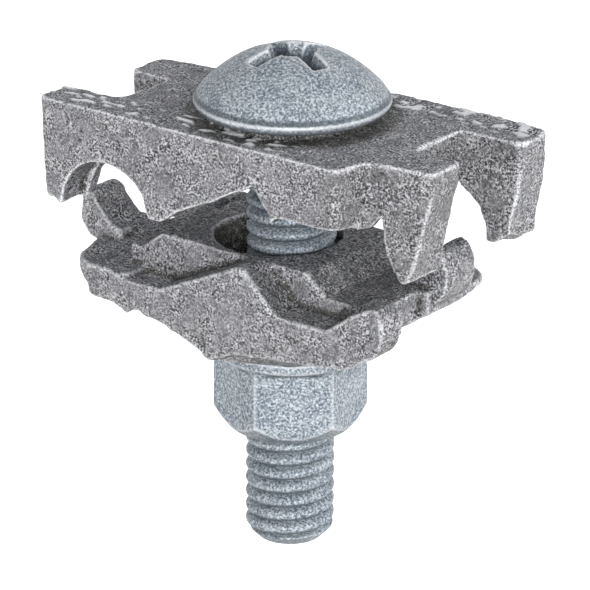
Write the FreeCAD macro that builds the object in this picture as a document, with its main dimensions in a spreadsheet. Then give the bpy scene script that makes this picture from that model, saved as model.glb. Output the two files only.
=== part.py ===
import FreeCAD, Part
import math
import os
import Sketcher

# Cable grounding connector: two cast jaws with interlocking teeth, drawn together
# on one cable each side of a truss-head screw by a collared hex nut.
# Millimetres. The origin is the centre of the screw's free end, +Z runs up the screw
# to its head, +X along the jaws and +Y along the cables. Each jaw is drawn as one half
# and patterned by half a turn about its own centre, but the fingers and the ledge under
# the left finger differ in size. Both jaws hang a little off the screw's centre.
# Heights on the jaws are given as depths below the flat top.

SIZES = {
    # Screw
    "shank_length": (48.2, "underside of the head to the free end"),
    "thread_radius": (4.76, "outside of the thread"),
    "end_radius": (3.5, "flat at the free end"),
    "end_chamfer": (1.3, "height of the chamfer at the free end"),
    "head_radius": (10.4, "rim of the head"),
    "head_rim": (1.5, "height of the rim band"),
    "head_crown": (5.3, "height of the dome over the rim"),
    "recess_reach": (5.2, "half length of each recess wing"),
    "recess_width": (2.0, "width of each recess wing"),
    "recess_depth": (3.4, "depth of the recess wings below the crown"),
    "recess_core": (2.9, "radius of the recess core at the crown"),
    "recess_core_depth": (4.6, "depth of the pointed core"),
    "screw_turn": (-18.0, "degrees that the recess is turned"),
    # Nut
    "nut_flats": (14.3, "across the flats"),
    "nut_height": (9.5, "collar and hexagon together"),
    "collar_height": (1.3, "round collar against the jaw"),
    "collar_radius": (8.2, "outside of the collar"),
    "nut_chamfer": (1.9, "height of the chamfer on the free face"),
    "nut_face_radius": (6.6, "free face inside its chamfer"),
    "nut_turn": (40.0, "degrees that the hexagon is turned"),
    "thread_clearance": (0.05, "radial, nut to screw"),
    # Upper jaw
    "boss_height": (0.8, "raised seat under the head"),
    "boss_radius": (8.6, "raised seat under the head"),
    "upper_shift": (0.4, "how far the upper jaw sits off the screw's centre"),
    "upper_bore": (5.4, "radius of the bolt hole"),
    "upper_reach": (24.6, "centre to the outside of the wide legs"),
    "half_depth": (11.7, "centre to the front face"),
    "body_end": (14.6, "centre to the end of the front wall"),
    "body_chamfer": (1.0, "slope between the front wall's end and a narrow leg"),
    "narrow_reach": (22.5, "centre to the outside of the narrow legs"),
    "narrow_front": (6.5, "front face of a narrow leg"),
    "narrow_back": (1.3, "back face of a narrow leg"),
    "notch_wall": (17.1, "centre to the wall between the legs"),
    "wide_back": (6.8, "back face of a wide leg"),
    "leg_depth": (12.4, "length of the narrow legs"),
    "wide_leg_depth": (11.5, "length of the wide legs"),
    "wide_tip_rise": (1.3, "rounding of a wide leg's tip, upward"),
    "wide_tip_run": (2.2, "rounding of a wide leg's tip, inward"),
    "wide_leg_draft": (1.1, "how far the outside of a wide leg leans in"),
    "narrow_leg_draft": (2.3, "how far the outside of a narrow leg leans in"),
    "narrow_leg_inner": (1.1, "how far the inside of a narrow leg leans out"),
    "draft_start": (1.5, "depth at which the legs begin to taper"),
    "roof_depth": (5.5, "thickness of the web over the cables"),
    "wall_inner": (8.4, "centre to the inside of the front wall"),
    "arch_place": (15.35, "centre to the axis of a cable seat"),
    "arch_depth": (11.5, "depth of the cable seat's axis"),
    "arch_radius": (5.9, "round seat over the cable"),
    "hook_place": (20.3, "inner foot of a wide leg behind the wall"),
    "hook_shoulder": (19.2, "inner side of a wide leg above the level of the teeth"),
    "hook_rise": (2.2, "how far that shoulder lies above the tooth tips"),
    "tooth_depth": (10.0, "tip of the front tooth"),
    "tooth_end": (7.9, "inner side of the front tooth"),
    "vee_place": (3.2, "apex of the vee"),
    "vee_depth": (3.9, "depth of the vee apex"),
    "step_place": (6.1, "small tooth beside the vee"),
    "step_depth": (7.4, "depth of the small tooth"),
    "flat_start": (7.4, "start of the level cable roof"),
    "flat_depth": (6.6, "depth of the level cable roof"),
    "edge_round": (1.0, "rounding of the upright edges"),
    # Lower jaw
    "jaw_shift": (1.8, "how far the loose jaw hangs off the screw's centre"),
    "lower_reach": (20.0, "centre to the ends"),
    "lower_half_depth": (11.6, "centre to the front face"),
    "lower_bore": (6.85, "radius of the bolt hole"),
    "peak_depth": (13.2, "top of the front peak"),
    "land_depth": (13.5, "land around the bolt hole"),
    "land_reach": (9.6, "half length of the land"),
    "land_foot": (12.2, "foot of the land's slope"),
    "mid_half": (7.8, "half width of the middle band"),
    "trough_depth": (17.35, "ledge at the mouth of a cable trough"),
    "floor_depth": (15.6, "floor of the cable troughs beside the screw"),
    "ledge_end": (13.6, "inner edge of the front ledge"),
    "pocket_place": (9.2, "deepest point of the tooth pocket"),
    "pocket_depth": (19.2, "depth of the tooth pocket"),
    "peak_place": (3.4, "start of the front peak"),
    "peak_width": (0.9, "flat of the front peak"),
    "peak_fall_place": (7.3, "foot of the peak"),
    "peak_fall_depth": (16.1, "depth at the foot of the peak"),
    "peak_foot_run": (2.2, "from the foot of the peak to the trough"),
    "peak_foot_bend": (0.8, "where the hollow between them is deepest"),
    "peak_foot_drop": (0.9, "how deep it is there"),
    "lobe_foot": (13.8, "foot of the end lobe"),
    "lobe_bend": (2.6, "from the foot to the shoulder of the end lobe"),
    "lobe_shoulder": (1.4, "shoulder below the lobe's top"),
    "lobe_place": (18.9, "top of the end lobe"),
    "lobe_depth": (13.7, "depth of the lobe top"),
    "lobe_fall": (1.8, "how far the lobe falls off to its end"),
    "lobe_back": (8.0, "back face of the end lobe"),
    "left_notch": (15.3, "centre to the wall between the left lobe and finger"),
    "right_notch": (18.8, "centre to the wall between the right lobe and finger"),
    "finger_width": (5.2, "width of a finger along the cable"),
    "finger_start": (0.4, "middle to the nearer side of a finger"),
    "end_offset": (0.7, "how far the ends beside the leg gaps reach over the middle"),
    "left_finger_depth": (12.0, "tip of the left finger"),
    "right_finger_depth": (11.3, "tip of the right finger"),
    "left_finger_bulge": (2.7, "how far the left finger leans out past the end"),
    "right_finger_bulge": (1.5, "how far the right finger leans out past the end"),
    "finger_thickness": (2.8, "thickness of a finger below its tip"),
    "finger_root_inner": (17.0, "inner foot of a finger"),
    "finger_root_step": (0.4, "how far the outer foot of a finger stands in from the end"),
    "finger_root_sink": (0.3, "how far a finger's foot reaches into the ledge"),
    "finger_bulge_drop": (2.6, "widest point of a finger below its tip"),
    "finger_tip_outer": (0.7, "outer end of the rounded tip, in from the widest point"),
    "finger_tip_crown": (1.6, "top of the rounded tip, in from the widest point"),
    "finger_tip_drop": (0.6, "outer end of the rounded tip below its top"),
    "finger_tip_lean": (0.8, "inner end of the rounded tip below its top"),
    "finger_inner_bend": (0.5, "how far the inside of a finger is hollowed"),
    "finger_inner_drop": (0.3, "how far that hollow lies below the middle"),
    "ledge_under": (21.7, "underside of the thick left ledge"),
    "ledge_under_end": (11.5, "where that underside meets the keel"),
    "corner_round": (4.2, "rounding of the ledge corners"),
    "lobe_round": (2.2, "rounding of the lobe corners"),
    "keel_start": (18.1, "depth at which the underside begins to close in"),
    "keel_waist_depth": (22.2, "depth where the underside steepens to the seat"),
    "keel_waist_length": (12.6, "centre to the waist, along the jaw"),
    "keel_waist_width": (11.0, "centre to the waist, across the jaw"),
    "seat_depth": (24.9, "nut seat"),
    "seat_end": (12.6, "corner of the nut seat at the end of the jaw"),
    "seat_end_offset": (0.6, "how far that corner lies off the middle"),
    "seat_side": (10.7, "corner of the nut seat at the side of the jaw"),
    "seat_side_offset": (1.2, "how far that corner lies off the middle"),
    "seat_front_place": (6.9, "corner of the nut seat under the lobe, along the jaw"),
    "seat_front_width": (6.8, "the same corner, across the jaw"),
    "seat_back_place": (7.5, "corner of the nut seat under the ledge, along the jaw"),
    "seat_back_width": (5.5, "the same corner, across the jaw"),
    "nose_reach": (22.1, "centre to the end of the lobe's nose"),
    "nose_depth": (16.2, "foremost point of the nose"),
    "nose_brow": (1.0, "how far the brow of the nose stands back from its end"),
    "nose_brow_drop": (0.5, "how far that brow lies below the lobe's top"),
    "nose_under_place": (20.0, "underside of the nose, along the jaw"),
    "nose_under_depth": (19.5, "underside of the nose"),
    "nose_cheek_place": (21.4, "between the nose's end and its underside, along the jaw"),
    "nose_cheek_depth": (18.0, "the same point's depth"),
    "heel_place": (17.0, "where the underside of the front wall levels out"),
    "heel_depth": (21.4, "depth of the underside there"),
    "wall_low_place": (2.4, "front wall beside its lowest point, along the jaw"),
    "wall_low_depth": (23.4, "depth of the underside there"),
    "wall_lean_start": (17.5, "depth at which the front face begins to lean in"),
    "wall_lean": (0.9, "how far the front face leans in at the nut seat"),
}
CUT_MARGIN = 1.0
# A cut runs this far past a face that a fillet or another cut has moved.
SMALL_MARGIN = 0.3
# An added solid reaches this far into the one that carries it.
ROOT = 0.5


class Size:
    """A number together with the sheet formula that gives it."""

    def __init__(self, value, formula):
        self.value = float(value)
        self.formula = formula

    def joined(self, sign, other, result):
        return Size(result, f"({self.formula} {sign} {other.formula})")

    def __add__(self, other):
        other = as_size(other)
        return self.joined("+", other, self.value + other.value)

    def __sub__(self, other):
        other = as_size(other)
        return self.joined("-", other, self.value - other.value)

    def __mul__(self, other):
        other = as_size(other)
        return self.joined("*", other, self.value * other.value)

    def __neg__(self):
        return Size(-self.value, f"(0 - {self.formula})")


def as_size(number):
    if isinstance(number, Size):
        return number
    return Size(number, f"{number:.9f}")


def other_leg(long_side, short_side):
    """The third side of a right-angled triangle."""
    square = long_side * long_side - short_side * short_side
    return Size(math.sqrt(square.value), f"sqrt({square.formula})")


def make_sheet(document):
    """Write every driving size in the sheet, one row each."""
    sheet = document.addObject("Spreadsheet::Sheet", "Sizes")
    for row, (name, (value, note)) in enumerate(SIZES.items(), start=1):
        sheet.set(f"A{row}", name)
        sheet.set(f"B{row}", str(value))
        sheet.set(f"C{row}", note)
        sheet.setAlias(f"B{row}", name)
    document.recompute()
    return {name: Size(value, f"Sizes.{name}") for name, (value, note) in SIZES.items()}


def bind(item, path, size):
    item.setExpression(path, as_size(size).formula)


def origin_plane(body, role):
    for feature in body.Origin.OriginFeatures:
        if feature.Role == role:
            return feature
    raise ValueError(role)


def new_sketch(body, name, role, offset=None):
    """A sketch on one of the body's own planes, moved along the plane's normal."""
    sketch = body.newObject("Sketcher::SketchObject", name)
    sketch.AttachmentSupport = [(origin_plane(body, role), "")]
    sketch.MapMode = "FlatFace"
    if offset is not None:
        bind(sketch, ".AttachmentOffset.Base.z", offset)
    return sketch


def pin_point(sketch, number, place, point):
    """Tie one point of the sketch to its two sheet formulas."""
    for kind, size in (("DistanceX", point[0]), ("DistanceY", point[1])):
        index = sketch.addConstraint(Sketcher.Constraint(kind, -1, 1, number, place, size.value))
        sketch.setExpression(f"Constraints[{index}]", size.formula)


def vector(point):
    return FreeCAD.Vector(point[0].value, point[1].value, 0)


def near_end(sketch, number, target):
    """Which end of a curve lies at the target: 1 is its start, 2 its end."""
    gaps = [(sketch.getPoint(number, place) - target).Length for place in (1, 2)]
    return 1 + gaps.index(min(gaps))


def outline(sketch, corners):
    """Closed outline. A corner is (x, y), or (x, y, via) where an arc starts there."""
    corners = [tuple(as_size(part) if not isinstance(part, tuple) else part for part in corner)
               for corner in corners]
    count = len(corners)
    for number, corner in enumerate(corners):
        start = vector(corner)
        end = vector(corners[(number + 1) % count])
        if len(corner) == 3:
            via = tuple(as_size(part) for part in corner[2])
            sketch.addGeometry(Part.Arc(start, vector(via), end))
        else:
            sketch.addGeometry(Part.LineSegment(start, end))
    for number, corner in enumerate(corners):
        following = (number + 1) % count
        meeting = vector(corners[following])
        sketch.addConstraint(Sketcher.Constraint(
            "Coincident", number, near_end(sketch, number, meeting),
            following, near_end(sketch, following, meeting)))
    for number, corner in enumerate(corners):
        pin_point(sketch, number, near_end(sketch, number, vector(corner)), corner)
        if len(corner) == 3:
            via = tuple(as_size(part) for part in corner[2])
            point = sketch.addGeometry(Part.Point(vector(via)), True)
            sketch.addConstraint(Sketcher.Constraint("PointOnObject", point, 1, number))
            pin_point(sketch, point, 1, via)


def circle(sketch, radius):
    sketch.addGeometry(Part.Circle(FreeCAD.Vector(0, 0, 0), FreeCAD.Vector(0, 0, 1), radius.value))
    sketch.addConstraint(Sketcher.Constraint("Coincident", 0, 3, -1, 1))
    index = sketch.addConstraint(Sketcher.Constraint("Radius", 0, radius.value))
    sketch.setExpression(f"Constraints[{index}]", radius.formula)


def rectangle(sketch, left, front, right, back):
    outline(sketch, [(left, front), (right, front), (right, back), (left, back)])


def pad(body, sketch, name, length, reverse=False):
    feature = body.newObject("PartDesign::Pad", name)
    feature.Profile = sketch
    feature.Reversed = reverse
    bind(feature, "Length", length)
    return feature


def pocket(body, sketch, name, length, reverse=False):
    feature = body.newObject("PartDesign::Pocket", name)
    feature.Profile = sketch
    feature.Reversed = reverse
    bind(feature, "Length", length)
    return feature


def turned(body, kind, sketch, name):
    """A revolution or groove about the sketch's upright axis."""
    feature = body.newObject(kind, name)
    feature.Profile = sketch
    feature.ReferenceAxis = (sketch, ["V_Axis"])
    feature.Angle = 360
    return feature


def half_turn_copies(body, features, name):
    """Repeat the features after half a turn about the screw."""
    pattern = body.newObject("PartDesign::PolarPattern", name)
    pattern.Originals = features
    pattern.Axis = (origin_plane(body, "Z_Axis"), [""])
    pattern.Angle = 360
    pattern.Occurrences = 2
    body.Tip = pattern
    return pattern


def round_edges(body, base, name, radius, wanted):
    """Fillet the edges of the base feature that the test picks."""
    edges = [f"Edge{number}" for number, edge in enumerate(base.Shape.Edges, start=1)
             if wanted(edge)]
    feature = body.newObject("PartDesign::Fillet", name)
    feature.Base = (base, edges)
    bind(feature, "Radius", radius)
    body.Tip = feature
    return feature


def is_upright(edge):
    ends = [vertex.Point for vertex in edge.Vertexes]
    if len(ends) != 2:
        return False
    run = ends[1] - ends[0]
    return math.hypot(run.x, run.y) < 1e-6 * max(run.Length, 1)


def turned_half(points):
    """The points and their copies after half a turn."""
    return points + [(-across, -along) for across, along in points]


def turn_about_screw(body, degrees):
    axis = FreeCAD.Vector(0, 0, 1)
    body.Placement = FreeCAD.Placement(FreeCAD.Vector(0, 0, 0), FreeCAD.Rotation(axis, degrees.value))
    bind(body, ".Placement.Rotation.Angle", degrees)


def make_screw(document, size):
    """Truss-head machine screw with a cross recess; the fine thread is left plain."""
    body = document.addObject("PartDesign::Body", "screw")
    head_base = size["shank_length"]
    rim_top = head_base + size["head_rim"]
    crown = rim_top + size["head_crown"]
    zero = as_size(0)
    profile = new_sketch(body, "ScrewProfile", "XZ_Plane")
    bend = (size["head_radius"] * 0.60, rim_top + size["head_crown"] * 0.70)
    outline(profile, [
        (zero, zero),
        (size["end_radius"], zero),
        (size["thread_radius"], size["end_chamfer"]),
        (size["thread_radius"], head_base),
        (size["head_radius"], head_base),
        (size["head_radius"], rim_top, bend),
        (zero, crown)])
    turned(body, "PartDesign::Revolution", profile, "ScrewTurned")
    for name, wide, deep in (("WingsX", size["recess_reach"], size["recess_width"] * 0.5),
                             ("WingsY", size["recess_width"] * 0.5, size["recess_reach"])):
        wings = new_sketch(body, name + "Sketch", "XY_Plane", crown)
        rectangle(wings, -wide, -deep, wide, deep)
        pocket(body, wings, name, size["recess_depth"])
    core = new_sketch(body, "CoreSketch", "XZ_Plane")
    outline(core, [
        (zero, crown + CUT_MARGIN),
        (zero, crown - size["recess_core_depth"]),
        (size["recess_core"] * 0.5, crown - size["recess_depth"]),
        (size["recess_core"], crown + CUT_MARGIN)])
    turned(body, "PartDesign::Groove", core, "RecessCore")
    turn_about_screw(body, size["screw_turn"])
    return body


def make_nut(document, size, seat_height):
    """Hexagon nut with a round collar at the jaw and a chamfered free face."""
    body = document.addObject("PartDesign::Body", "nut")
    bottom = seat_height - size["nut_height"]
    corner = size["nut_flats"] * (1 / math.sqrt(3))
    hexagon = new_sketch(body, "HexSketch", "XY_Plane", bottom)
    outline(hexagon, [(corner * math.cos(math.radians(60 * turn)),
                       corner * math.sin(math.radians(60 * turn))) for turn in range(6)])
    pad(body, hexagon, "Hexagon", size["nut_height"] - size["collar_height"])
    collar = new_sketch(body, "CollarSketch", "XY_Plane", seat_height)
    circle(collar, size["collar_radius"])
    pad(body, collar, "Collar", size["collar_height"], reverse=True)
    outside = corner + CUT_MARGIN
    chamfer = new_sketch(body, "ChamferSketch", "XZ_Plane")
    outline(chamfer, [
        (size["nut_face_radius"], bottom - CUT_MARGIN),
        (outside, bottom - CUT_MARGIN),
        (outside, bottom + size["nut_chamfer"]),
        (corner, bottom + size["nut_chamfer"]),
        (size["nut_face_radius"], bottom)])
    turned(body, "PartDesign::Groove", chamfer, "FaceChamfer")
    bore = new_sketch(body, "NutBoreSketch", "XY_Plane", seat_height + CUT_MARGIN)
    circle(bore, size["thread_radius"] + size["thread_clearance"])
    pocket(body, bore, "NutBore", size["nut_height"] + 2 * CUT_MARGIN)
    turn_about_screw(body, size["nut_turn"])
    return body


def make_upper_jaw(document, size, plate_top):
    """Casting with four hooked legs, a toothed wall front and back and a seat for the head."""
    body = document.addObject("PartDesign::Body", "upper_jaw")
    tips = plate_top - size["leg_depth"]
    front = -size["half_depth"]

    def low(depth):
        return plate_top - depth

    plan = new_sketch(body, "UpperPlan", "XY_Plane", plate_top)
    outline(plan, turned_half([
        (-size["upper_reach"], -size["wide_back"]),
        (-size["upper_reach"], front),
        (size["body_end"], front),
        (size["body_end"] + size["body_chamfer"], -size["narrow_front"] - size["body_chamfer"]),
        (size["narrow_reach"], -size["narrow_front"]),
        (size["narrow_reach"], -size["narrow_back"]),
        (size["notch_wall"], -size["narrow_back"]),
        (size["notch_wall"], size["wide_back"])]))
    block = pad(body, plan, "UpperBlock", size["leg_depth"], reverse=True)
    document.recompute()
    round_edges(body, block, "UprightRounds", size["edge_round"], is_upright)

    under = new_sketch(body, "UnderSketch", "XY_Plane", low(size["roof_depth"]))
    notch_clear = size["notch_wall"] + size["edge_round"] + SMALL_MARGIN
    outline(under, turned_half([
        (size["notch_wall"], -size["wall_inner"]),
        (size["notch_wall"], -size["narrow_back"]),
        (notch_clear, -size["narrow_back"]),
        (notch_clear, size["wide_back"]),
        (size["notch_wall"], size["wide_back"]),
        (size["notch_wall"], size["wall_inner"])]))
    pocket(body, under, "UnderHollow", size["leg_depth"] - size["roof_depth"] + CUT_MARGIN)

    below = tips - CUT_MARGIN
    springing = (-size["arch_place"] - size["arch_radius"], low(size["arch_depth"]))
    crown = (-size["arch_place"], low(size["arch_depth"] - size["arch_radius"]))
    tooth_start = other_leg(size["arch_radius"], size["arch_depth"] - size["tooth_depth"])
    wall = new_sketch(body, "WallProfile", "XZ_Plane", size["wall_inner"])
    outline(wall, [
        (springing[0], below),
        (*springing, crown),
        (-size["arch_place"] + tooth_start, low(size["tooth_depth"])),
        (-size["tooth_end"], low(size["tooth_depth"])),
        (size["vee_place"], low(size["vee_depth"])),
        (size["step_place"], low(size["step_depth"])),
        (size["flat_start"], low(size["flat_depth"])),
        (size["notch_wall"], low(size["flat_depth"])),
        (size["notch_wall"], below)])
    wall_cut = pocket(body, wall, "WallCut", size["half_depth"] - size["wall_inner"] + CUT_MARGIN,
                      reverse=True)

    groove = new_sketch(body, "LegGroove", "XZ_Plane", size["wide_back"] - CUT_MARGIN)
    shoulder = (-size["hook_shoulder"], low(size["tooth_depth"] - size["hook_rise"]))
    outline(groove, [
        (-size["hook_place"], below),
        (-size["hook_place"], tips, shoulder),
        crown,
        (crown[0], below)])
    groove_cut = pocket(body, groove, "LegGrooveCut",
                        size["half_depth"] - size["wide_back"] + 2 * CUT_MARGIN, reverse=True)

    tip = new_sketch(body, "WideLegTip", "XZ_Plane", size["wide_back"] - CUT_MARGIN)
    wide_tip = low(size["wide_leg_depth"])
    outline(tip, [
        (-size["upper_reach"] - CUT_MARGIN, below),
        (-size["upper_reach"] - CUT_MARGIN, wide_tip + size["wide_tip_rise"]),
        (-size["upper_reach"] + size["wide_leg_draft"], wide_tip + size["wide_tip_rise"]),
        (-size["upper_reach"] + size["wide_leg_draft"] + size["wide_tip_run"], wide_tip),
        (-size["arch_place"], wide_tip),
        (-size["arch_place"], below)])
    tip_cut = pocket(body, tip, "WideLegTipCut",
                     size["half_depth"] - size["wide_back"] + 2 * CUT_MARGIN, reverse=True)

    cuts = [wall_cut, groove_cut, tip_cut]
    for name, outer, draft, near, far in (
            ("WideLegLean", -size["upper_reach"], size["wide_leg_draft"],
             size["wide_back"] - CUT_MARGIN, size["half_depth"] + CUT_MARGIN),
            ("NarrowLegLean", size["narrow_reach"], -size["narrow_leg_draft"],
             size["narrow_back"] - CUT_MARGIN, size["narrow_front"] + CUT_MARGIN)):
        outside = outer - CUT_MARGIN if outer.value < 0 else outer + CUT_MARGIN
        lean = new_sketch(body, name, "XZ_Plane", near)
        outline(lean, [
            (outer, low(size["draft_start"])),
            (outer + draft, tips),
            (outer + draft, below),
            (outside, below),
            (outside, low(size["draft_start"]))])
        cuts.append(pocket(body, lean, name + "Cut", far - near, reverse=True))

    inner = new_sketch(body, "NarrowLegInner", "XZ_Plane", size["narrow_back"] - CUT_MARGIN)
    outline(inner, [
        (size["notch_wall"], low(size["roof_depth"])),
        (size["notch_wall"] + size["narrow_leg_inner"], tips),
        (size["notch_wall"] + size["narrow_leg_inner"], below),
        (size["notch_wall"] - CUT_MARGIN, below),
        (size["notch_wall"] - CUT_MARGIN, low(size["roof_depth"]))])
    cuts.append(pocket(body, inner, "NarrowLegInnerCut",
                       size["narrow_front"] - size["narrow_back"] + 2 * CUT_MARGIN, reverse=True))
    half_turn_copies(body, cuts, "UpperHalfTurn")

    boss = new_sketch(body, "BossSketch", "XY_Plane", plate_top - CUT_MARGIN)
    circle(boss, size["boss_radius"])
    pad(body, boss, "HeadSeat", size["boss_height"] + CUT_MARGIN)
    bore = new_sketch(body, "UpperBoreSketch", "XY_Plane", plate_top + size["boss_height"] + CUT_MARGIN)
    circle(bore, size["upper_bore"])
    pocket(body, bore, "UpperBore", size["leg_depth"] + size["boss_height"] + 2 * CUT_MARGIN)
    bind(body, ".Placement.Base.x", -size["upper_shift"])
    return body


def make_lower_jaw(document, size, plate_top):
    """Casting with cable troughs, two hooked fingers, end lobes and a keel to the nut seat."""
    body = document.addObject("PartDesign::Body", "lower_jaw")
    front = -size["lower_half_depth"]
    reach = size["lower_reach"]

    def low(depth):
        return plate_top - depth

    top = low(size["peak_depth"])
    keel_top = low(size["keel_start"])
    plan = new_sketch(body, "LowerPlan", "XY_Plane", top)
    rectangle(plan, -reach, front, reach, -front)
    block = pad(body, plan, "LowerBlock", size["keel_start"] - size["peak_depth"], reverse=True)
    document.recompute()

    def is_outer_corner(edge):
        return is_upright(edge) and abs(edge.CenterOfMass.y) > size["lobe_back"].value

    def is_ledge_corner(edge):
        return is_outer_corner(edge) and edge.CenterOfMass.x * edge.CenterOfMass.y > 0

    def is_lobe_corner(edge):
        return is_outer_corner(edge) and edge.CenterOfMass.x * edge.CenterOfMass.y < 0

    ledges = round_edges(body, block, "LedgeCorners", size["corner_round"], is_ledge_corner)
    document.recompute()
    round_edges(body, ledges, "LobeCorners", size["lobe_round"], is_lobe_corner)

    above = top + CUT_MARGIN
    ledge = low(size["trough_depth"])
    floor = low(size["floor_depth"])
    middle = new_sketch(body, "MiddleProfile", "XZ_Plane", -size["mid_half"])
    outline(middle, [
        (-reach - CUT_MARGIN, above),
        (-reach - CUT_MARGIN, floor),
        (-size["land_foot"], floor),
        (-size["land_reach"], low(size["land_depth"])),
        (size["land_reach"], low(size["land_depth"])),
        (size["land_foot"], floor),
        (reach + CUT_MARGIN, floor),
        (reach + CUT_MARGIN, above)])
    pocket(body, middle, "MiddleCut", size["mid_half"] * 2, reverse=True)

    band = new_sketch(body, "FrontProfile", "XZ_Plane", size["mid_half"])
    outline(band, [
        (-reach - CUT_MARGIN, above),
        (-reach - CUT_MARGIN, ledge),
        (-size["ledge_end"], ledge),
        (-size["pocket_place"], low(size["pocket_depth"])),
        (size["peak_place"], low(size["peak_depth"])),
        (size["peak_place"] + size["peak_width"], low(size["peak_depth"])),
        (size["peak_fall_place"], low(size["peak_fall_depth"]),
         (size["peak_fall_place"] + size["peak_foot_bend"],
          low(size["peak_fall_depth"] + size["peak_foot_drop"]))),
        (size["peak_fall_place"] + size["peak_foot_run"], ledge),
        (size["lobe_foot"], ledge,
         (size["lobe_foot"] + size["lobe_bend"], low(size["lobe_depth"] + size["lobe_shoulder"]))),
        (size["lobe_place"], low(size["lobe_depth"])),
        (reach + CUT_MARGIN, low(size["lobe_depth"] + size["lobe_fall"])),
        (reach + CUT_MARGIN, above)])
    band_cut = pocket(body, band, "FrontCut",
                      size["lower_half_depth"] - size["mid_half"] + CUT_MARGIN, reverse=True)
    slope = new_sketch(body, "LedgeSlope", "YZ_Plane", -reach - CUT_MARGIN)
    outline(slope, [
        (-size["mid_half"] - SMALL_MARGIN, ledge),
        (-size["end_offset"] * 2, floor),
        (-size["end_offset"] * 2, floor + CUT_MARGIN),
        (-size["mid_half"] - SMALL_MARGIN, floor + CUT_MARGIN)])
    slope_cut = pocket(body, slope, "LedgeSlopeCut", reach + CUT_MARGIN - size["ledge_end"],
                       reverse=True)
    half_turn_copies(body, [band_cut, slope_cut], "LowerHalfTurn")

    for name, side, tip_depth, bulge in (
            ("LeftFinger", -1, size["left_finger_depth"], size["left_finger_bulge"]),
            ("RightFinger", 1, size["right_finger_depth"], size["right_finger_bulge"])):
        outermost = reach + bulge
        inner = outermost - size["finger_thickness"]
        root = ledge - size["finger_root_sink"]
        widest = (outermost * side, low(tip_depth + size["finger_bulge_drop"]))
        tip_crown = ((outermost - size["finger_tip_crown"]) * side, low(tip_depth))
        hollow = ((inner - size["finger_inner_bend"]) * side,
                  low((tip_depth + size["floor_depth"]) * 0.5 + size["finger_inner_drop"]))
        finger = new_sketch(body, name + "Profile", "XZ_Plane", size["finger_start"] * -side)
        outline(finger, [
            ((reach - size["finger_root_step"]) * side, root),
            (reach * side, ledge, widest),
            ((outermost - size["finger_tip_outer"]) * side, low(tip_depth + size["finger_tip_drop"]),
             tip_crown),
            (inner * side, low(tip_depth + size["finger_tip_lean"]), hollow),
            (size["finger_root_inner"] * side, floor),
            (size["finger_root_inner"] * side, root)])
        pad(body, finger, name, size["finger_width"], reverse=side > 0)

    sections = []
    for name, height, length, width in (
            ("KeelTop", keel_top, reach, size["lower_half_depth"]),
            ("KeelWaist", low(size["keel_waist_depth"]), size["keel_waist_length"],
             size["keel_waist_width"])):
        section = new_sketch(body, name, "XY_Plane", height)
        outline(section, turned_half([
            (-length, -width + size["corner_round"]),
            (-length + size["corner_round"], -width),
            (length - size["lobe_round"], -width),
            (length, -width + size["lobe_round"])]))
        sections.append(section)
    section = new_sketch(body, "KeelSeat", "XY_Plane", low(size["seat_depth"]))
    outline(section, turned_half([
        (-size["seat_back_place"], -size["seat_back_width"]),
        (-size["seat_side_offset"], -size["seat_side"]),
        (size["seat_front_place"], -size["seat_front_width"]),
        (size["seat_end"], -size["seat_end_offset"])]))
    sections.append(section)
    keel = body.newObject("PartDesign::AdditiveLoft", "Keel")
    keel.Profile = sections[0]
    keel.Sections = [(section, [""]) for section in sections[1:]]
    keel.Ruled = True

    corner = size["corner_round"]
    cut = corner * (1 - math.sqrt(0.5))
    under = new_sketch(body, "LedgeUnderSketch", "XY_Plane", keel_top + ROOT)
    outline(under, [
        (-reach, -size["end_offset"]),
        (-reach, front + corner, (-reach + cut, front + cut)),
        (-reach + corner, front),
        (-size["ledge_under_end"], -size["keel_waist_width"]),
        (-size["ledge_under_end"], -size["end_offset"])])
    pad(body, under, "LedgeUnder", size["ledge_under"] - size["keel_start"] + ROOT, reverse=True)

    nose = new_sketch(body, "LobeNoseProfile", "XZ_Plane", size["lobe_back"])
    outline(nose, [
        (size["lobe_place"], low(size["lobe_depth"])),
        (size["lobe_place"], keel_top + ROOT),
        (-size["seat_side_offset"], keel_top + ROOT),
        (-size["seat_side_offset"], low(size["seat_depth"])),
        (size["wall_low_place"], low(size["wall_low_depth"])),
        (size["heel_place"], low(size["heel_depth"])),
        (size["nose_under_place"], low(size["nose_under_depth"]),
         (size["nose_cheek_place"], low(size["nose_cheek_depth"]))),
        (size["nose_reach"], low(size["nose_depth"]),
         (size["nose_reach"] - size["nose_brow"], low(size["lobe_depth"] + size["nose_brow_drop"])))])
    nose_pad = pad(body, nose, "LobeNose", size["lower_half_depth"] - size["lobe_back"])
    lean = new_sketch(body, "FrontLean", "YZ_Plane", -size["nose_reach"] - CUT_MARGIN)
    lean_inner = front + size["wall_lean"]
    outline(lean, [
        (front, low(size["wall_lean_start"])),
        (lean_inner, low(size["seat_depth"])),
        (lean_inner, low(size["seat_depth"]) - CUT_MARGIN),
        (front - CUT_MARGIN, low(size["seat_depth"]) - CUT_MARGIN),
        (front - CUT_MARGIN, low(size["wall_lean_start"]))])
    lean_cut = pocket(body, lean, "FrontLeanCut", (size["nose_reach"] + CUT_MARGIN) * 2, reverse=True)
    half_turn_copies(body, [nose_pad, lean_cut], "NoseHalfTurn")

    for name, inner, outer, near, far in (
            ("LeftLegGap", -size["nose_reach"] - CUT_MARGIN, -size["left_notch"],
             size["end_offset"], size["lobe_back"]),
            ("RightLegGap", size["right_notch"], size["nose_reach"] + CUT_MARGIN,
             -size["lobe_back"], -size["end_offset"])):
        gap = new_sketch(body, name, "XY_Plane", above)
        rectangle(gap, inner, near, outer, far)
        pocket(body, gap, name + "Cut", size["seat_depth"] - size["peak_depth"] + 2 * CUT_MARGIN)

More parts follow.
